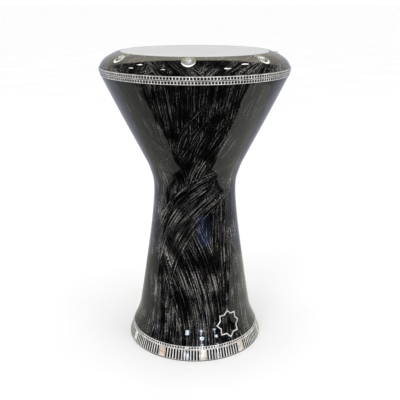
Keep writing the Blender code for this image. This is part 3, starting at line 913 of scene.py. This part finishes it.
def bead_strip(name, section, dots, dot, first, paint, body, node):
    """A silver-white strip with a row of black rounded dots let into it."""
    (low_r, low_z), (high_r, high_z) = section[1:3]
    joint = (RING_BOTTOM + SHELL_BAND_TOP) / 2.0
    reach = (low_z - joint if low_z > joint else joint - high_z) + JOINT_LINE

    def index_of(a, b):
        return SECOND if abs((a[1] + b[1]) / 2.0 - joint) < reach else 0

    def radius_at(z):
        return low_r + (high_r - low_r) * (z - low_z) / (high_z - low_z)

    bm = bmesh.new()
    turned(bm, rounded([(r, z, STRIP_ROUND) for r, z in section]), index_of)
    outline = rounded_rectangle(dot, dot, DOT_ROUND)
    for k in range(dots):
        plate(bm, outline, radius_at, first + 360.0 * k / dots, (low_z + high_z) / 2.0)
    piece = finish_solid(name, bm, (paint["strip"], paint["dot"]), FLAT)
    settle(piece, body, node)


def foot_strip(bottom, top):
    return [(foot_radius(bottom) - INLAY, bottom), (foot_radius(bottom), bottom),
            (foot_radius(top), top), (foot_radius(top) - INLAY, top)]


def make_strips(paint):
    """The three dotted strips: on the ring, on the shell's rim and above the foot's bars."""
    outer = RING_OUTLINE[-1][0] + RING_BAND_PROUD
    bottom = RING_BAND_TOP - BAND_HEIGHT
    section = [(outer - INLAY - RING_BAND_LEAN, bottom), (outer - RING_BAND_LEAN, bottom),
               (outer, RING_BAND_TOP), (outer - INLAY, RING_BAND_TOP)]
    bead_strip("ring_dots", section, JOINT_DOTS, JOINT_DOT, 0.0, paint, "ring", "ring_bead_band")
    low, high = SHELL_BAND_INNER, SHELL_BAND_INNER + SHELL_BAND_LEAN
    bottom = SHELL_BAND_TOP - BAND_HEIGHT
    section = [(low, bottom), (low + SHELL_BAND_THICK, bottom),
               (high + SHELL_BAND_THICK, SHELL_BAND_TOP), (high, SHELL_BAND_TOP)]
    bead_strip("rim_dots", section, JOINT_DOTS, JOINT_DOT, 0.6, paint, "drum_shell",
               "shell_bead_band")
    section = foot_strip(STRIPE_TOP + BEAD_LINE, FOOT_BAND_TOP - GAP)
    bead_strip("foot_dots", section, FOOT_DOTS, FOOT_DOT, 0.3, paint, "drum_shell",
               "foot_bead_band")


def make_foot_band(paint):
    """Ten pearl tiles, and ten white strips with twelve black bars each."""
    flat = foot_strip(FOOT_LIP + GAP, STRIPE_TOP)
    section = rounded([(r, z, STRIP_ROUND) for r, z in flat])
    middle_z = (flat[1][1] + flat[2][1]) / 2.0
    tall = flat[2][1] - flat[1][1]
    pitch = 360.0 / STRIPE_SETS
    width = math.radians(BAR_PITCH * BAR_SHARE) * foot_radius(middle_z)
    outline = rounded_rectangle(width, tall - BAR_MARGIN, BAR_ROUND, 2)
    for k in range(STRIPE_SETS):
        middle = FIRST_TILE + pitch * k
        edge = middle + TILE_ANGLE / 2.0
        bm = bmesh.new()
        swept(bm, section, middle - TILE_ANGLE / 2.0, edge, 8)
        tile = finish_solid(f"tile_{k + 1}", bm, (paint["pearl"],), FLAT)
        settle(tile, "drum_shell", f"pearl_tile_{k + 1}")
        start, end = edge + TILE_MARGIN, edge + pitch - TILE_ANGLE - TILE_MARGIN
        bm = bmesh.new()
        swept(bm, section, start, end, 36)
        for n in range(BARS):
            angle = (start + end) / 2.0 + (n - (BARS - 1) / 2.0) * BAR_PITCH
            plate(bm, outline, foot_radius, angle, middle_z)
        bars = finish_solid(f"bars_{k + 1}", bm, (paint["strip"], paint["dot"]), FLAT)
        settle(bars, "drum_shell", f"bar_inlay_{k + 1}")


def star_loop(radius):
    """An eight-pointed star, two squares laid across each other, as (across, up) points."""
    notch = radius * math.cos(math.radians(45.0)) / math.cos(math.radians(22.5))
    corners = []
    for i in range(16):
        reach = radius if i % 2 == 0 else notch
        a = math.radians(22.5 * i)
        corners.append(Vector((reach * math.sin(a), reach * math.cos(a))))
    points = []
    for a, b in zip(corners, corners[1:] + corners[:1]):
        points.extend(a.lerp(b, k / STAR_STEPS) for k in range(STAR_STEPS))
    return points


def make_star(paint):
    """The star's metal line, rounded on top, following the shell."""
    line_scale = STAR_LINE / math.cos(math.radians(45.0))
    bottom = GAP + 0.0001
    bm = bmesh.new()
    loops = []
    for share, lift in STAR_LEVELS:
        loop = []
        for p in star_loop(STAR_RADIUS - line_scale * share):
            z = STAR_HEIGHT + p.y
            angle = STAR_ANGLE + math.degrees(p.x / surface_radius(STAR_HEIGHT))
            loop.append(bm.verts.new(at(surface_radius(z) + bottom + lift, angle, z)))
        loops.append(loop)
    for low, high in zip(loops, loops[1:] + loops[:1]):
        bridge(bm, low, high)
    star = finish_solid("star_line", bm, (paint["silver"],), 40.0)
    settle(star, "drum_shell", "star_inlay")


def make_screw_mesh(material):
    """M6 socket-head screw with a knurled head, a hexagon socket and a rolled thread."""
    columns = SCREW_COLUMNS
    rows = []
    for scale, height in SOCKET_ROWS:
        row = []
        for i in range(columns):
            inside = (360.0 * i / columns) % 60.0 - 30.0
            row.append((SOCKET_FLATS * scale / 2.0 / math.cos(math.radians(inside)), height))
        rows.append(row)
    for inward, down in SCREW_HEAD_EDGE:
        rows.append([(SCREW_HEAD_RADIUS - inward, SCREW_HEAD_HEIGHT - down)] * columns)
    for height in KNURL_HEIGHTS:
        rows.append([(SCREW_HEAD_RADIUS - (KNURL_DEPTH if i % 2 else 0.0), height)
                     for i in range(columns)])
    rows += [[point] * columns for point in SCREW_NECK]
    steps = round((SHANK_LENGTH - THREAD_START - THREAD_END) / THREAD_PITCH * THREAD_STEPS)
    for k in range(steps + 1):
        height = -THREAD_START - k * THREAD_PITCH / THREAD_STEPS
        run_in = THREAD_DEPTH * min(1.0, (k + 1) / THREAD_STEPS)
        row = []
        for i in range(columns):
            phase = (height / THREAD_PITCH - i / columns) % 1.0
            row.append((SHANK_RADIUS - run_in * (1.0 - abs(2.0 * phase - 1.0)), height))
        rows.append(row)
    rows.append([(SHANK_RADIUS - SCREW_TIP, -SHANK_LENGTH)] * columns)
    bm = bmesh.new()
    tube(bm, [[bm.verts.new(at(r, 360.0 * i / columns, z)) for i, (r, z) in enumerate(row)]
              for row in rows])
    return finish_solid("screw_1", bm, (material,), 25.0)


def make_washer_mesh(material):
    bore = SHANK_RADIUS + WASHER_GAP
    section = rounded([(bore, 0.0, 0.0002), (WASHER_RADIUS, 0.0, 0.0002),
                       (WASHER_RADIUS, WASHER_THICK, 0.0003), (bore, WASHER_THICK, 0.0002)])
    bm = bmesh.new()
    turned(bm, section, columns=SCREW_COLUMNS)
    return finish_solid("washer_a_1", bm, (material,))


def make_fasteners(paint):
    first_screw = make_screw_mesh(paint["zinc_steel"])
    first_washer = make_washer_mesh(paint["zinc_steel"])
    for number, angle in enumerate(screw_angles(), start=1):
        low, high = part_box(f"tuning_bolt_{number}")
        centre = (low + high) / 2.0
        screw, washer = first_screw, first_washer
        if number > 1:
            screw = add_object(f"screw_{number}", first_screw.data)
            washer = add_object(f"washer_a_{number}", first_washer.data)
        screw.location = (centre.x, centre.y, low.z + SHANK_LENGTH)
        screw.rotation_euler = (0.0, 0.0, math.radians(angle + SCREW_TURN * number))
        washer.location = (centre.x, centre.y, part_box(f"bolt_washer_{number}")[0].z)
        settle(screw, f"bolt_{number}", f"tuning_bolt_{number}")
        settle(washer, f"washer_{number}", f"bolt_washer_{number}")


def settle(piece, body, node):
    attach(piece, body)
    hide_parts(node)


# ------------------------------ room
FLOOR_HALF = 60.0
FLOOR_HEIGHT = -0.0002
BACKDROP = 1.05            # strength of the white that the camera and diffuse rays see

# What mirrored rays see: levels of the ray's y (to the back) or z (up) where each part starts
# and where it is full, and its colour.
FRONT_COLOUR = (0.02, 0.02, 0.022, 1.0)
SIDE_FROM, SIDE_TOP, SIDE_LOW = (-0.01, 0.03), (0.45, 0.35), (-0.08, -0.16)
SIDE_COLOUR, SIDE_LOW_COLOUR = (0.70, 0.72, 0.64, 1.0), (0.42, 0.44, 0.50, 1.0)
BACK_FROM, BACK_TOP = (0.40, 0.66), (0.35, 0.25)
BACK_COLOUR = (0.58, 0.60, 0.70, 1.0)
SCREEN_FROM, SCREEN_BOTTOM, SCREEN_BRIGHT = (0.54, 0.64), (0.10, 0.30), (0.45, 0.80)
SCREEN_COLOUR, SCREEN_BRIGHT_COLOUR = (0.80, 0.77, 0.68, 1.0), (1.95, 1.80, 1.45, 1.0)

CARD_HEIGHT = -0.0004
CARD_LEFT = (0.50, 0.515, 0.46, 1.0)
CARD_RIGHT = (0.74, 0.76, 0.68, 1.0)
CARD_OUTLINE = [
    (-0.66, 0.33), (-0.66, 0.12), (-0.60, -0.03), (-0.45, -0.12), (-0.30, -0.150),
    (-0.12, -0.150), (0.15, -0.135), (0.30, -0.140), (0.45, -0.145), (0.60, -0.12), (0.68, -0.04),
    (0.70, 0.33),
]

LAMP_TARGET = (0.0, 0.0, 0.25)
CAMERA_PLACE = (0.0, -0.942, 0.530)
CAMERA_DOWN = 17.89        # degrees below the horizontal
CAMERA_LENS = 55.98
CAMERA_SHIFT = 0.013

def make_floor():
    bm = bmesh.new()
    bm.faces.new([bm.verts.new((x * FLOOR_HALF, y * FLOOR_HALF, FLOOR_HEIGHT))
                  for x, y in ((-1, -1), (1, -1), (1, 1), (-1, 1))])
    material = mottled("floor_white", (0.94, 0.94, 0.94), (0.97, 0.97, 0.97), scale=3.0, rough=0.8,
                       spread=0.1, grain=60.0, depth=0.0002, specular=0.1)
    floor = finish_mesh("floor", bm, (material,))
    floor.visible_glossy = False


def make_world():
    """White for the eye and the diffuse light; for mirrored rays, a dark front and pale sides."""
    world = bpy.data.worlds.new("studio")
    bpy.context.scene.world = world
    world.use_nodes = True
    graph = Graph(world.node_tree)
    ray = graph.node("TexCoord").outputs["Generated"]
    _, y, z = graph.split(ray)
    path = graph.node("LightPath")
    wobble = graph.math("MULTIPLY_ADD", graph.noise(ray, scale=7.0, detail=3.0), 0.30, -0.15)
    side = graph.step(graph.math("ADD", y, wobble), *SIDE_FROM)
    side = graph.times(side, graph.step(z, *SIDE_TOP))
    flank = graph.mix(graph.step(z, *SIDE_LOW), SIDE_COLOUR, SIDE_LOW_COLOUR)
    colour = graph.mix(side, FRONT_COLOUR, flank)
    back = graph.times(graph.step(y, *BACK_FROM), graph.step(z, *BACK_TOP))
    colour = graph.mix(back, colour, BACK_COLOUR)
    screen = graph.times(graph.step(y, *SCREEN_FROM), graph.step(z, *SCREEN_BOTTOM))
    pale = graph.mix(graph.step(z, *SCREEN_BRIGHT), SCREEN_COLOUR, SCREEN_BRIGHT_COLOUR)
    colour = graph.mix(screen, colour, pale)
    for azimuth, elevation, size, level, tone in LAMPS:
        toward = direction(azimuth) * math.cos(math.radians(elevation))
        toward.z = math.sin(math.radians(elevation))
        near = graph.vector("DOT_PRODUCT", ray, tuple(toward))
        glow = graph.step(near, math.cos(math.radians(size)), math.cos(math.radians(size * 0.6)))
        colour = graph.mix(glow, colour, tuple(c * level for c in tone) + (1.0,))
    seen = graph.node("Background")
    graph.named(seen, {"Color": (1.0, 1.0, 1.0, 1.0), "Strength": BACKDROP})
    mirrored = graph.node("Background")
    graph.named(mirrored, {"Color": colour})
    mix = graph.node("MixShader")
    graph.fill(mix, (path.outputs["Is Glossy Ray"], seen.outputs[0], mirrored.outputs[0]))
    graph.output(mix, "OutputWorld")


def make_card():
    """A pale card on the floor round the drum, only for the mirrored light."""
    bm = bmesh.new()
    bm.faces.new([bm.verts.new((x, y, CARD_HEIGHT)) for x, y in CARD_OUTLINE])
    material, graph, place = material_graph("card_pale")
    x, _, _ = graph.split(place)
    light = graph.node("Emission")
    graph.put(light.inputs["Color"], graph.mix(graph.step(x, -0.3, 0.3), CARD_LEFT, CARD_RIGHT))
    graph.output(light)
    card = finish_mesh("side_card", bm, (material,))
    for kind in ("camera", "diffuse", "shadow", "transmission"):
        setattr(card, "visible_" + kind, False)


BLUE_WHITE = (0.75, 0.85, 1.0)
WARM_WHITE = (1.0, 0.97, 0.92)
LAMPS = [  # azimuth from the front towards +X, elevation, radius (degrees), level, colour
    (-14, 6, 4.0, 22.0, BLUE_WHITE),
    (13, 16, 4.2, 22.0, BLUE_WHITE),
    (40, 12, 3.6, 22.0, BLUE_WHITE),
    (12, 5, 3.6, 16.0, BLUE_WHITE),
    (37, 3, 3.6, 16.0, BLUE_WHITE),
    (-16, 33, 4.0, 12.0, BLUE_WHITE),
    (17, 36, 4.0, 12.0, BLUE_WHITE),
    (-108, 43, 2.6, 24.0, WARM_WHITE),
    (-130, 52, 2.6, 24.0, WARM_WHITE),
    (-71, 65, 2.6, 24.0, WARM_WHITE),
    (84, 67, 3.0, 24.0, WARM_WHITE),
    (136, 54, 2.6, 24.0, WARM_WHITE),
]


def make_lamp(name, location, size, power):
    data = bpy.data.lights.new(name, "AREA")
    data.shape = "DISK"
    data.size = size
    data.energy = power
    lamp = add_object(name, data)
    lamp.location = location
    toward = Vector(LAMP_TARGET) - Vector(location)
    lamp.rotation_euler = toward.to_track_quat("-Z", "Y").to_euler()
    lamp.visible_glossy = False


def make_camera():
    """The pinhole camera fitted to the photograph's circles."""
    data = bpy.data.cameras.new("camera")
    data.sensor_width = 36.0
    data.lens = CAMERA_LENS
    data.shift_x = CAMERA_SHIFT
    camera = add_object("camera", data)
    camera.location = CAMERA_PLACE
    camera.rotation_euler = (math.radians(90.0 - CAMERA_DOWN), 0.0, 0.0)
    bpy.context.scene.camera = camera


# ------------------------------ build
bpy.context.scene.view_settings.view_transform = "Standard"
make_camera()
paint = make_materials()
make_shell(paint)
make_ring(paint)
make_film(paint)
make_hoop(paint)
make_strips(paint)
make_foot_band(paint)
make_star(paint)
make_fasteners(paint)
make_floor()
make_card()
make_world()
make_lamp("key", (-0.9, -1.6, 1.7), 0.9, 8.0)
make_lamp("fill", (1.4, -0.9, 1.1), 0.8, 4.0)
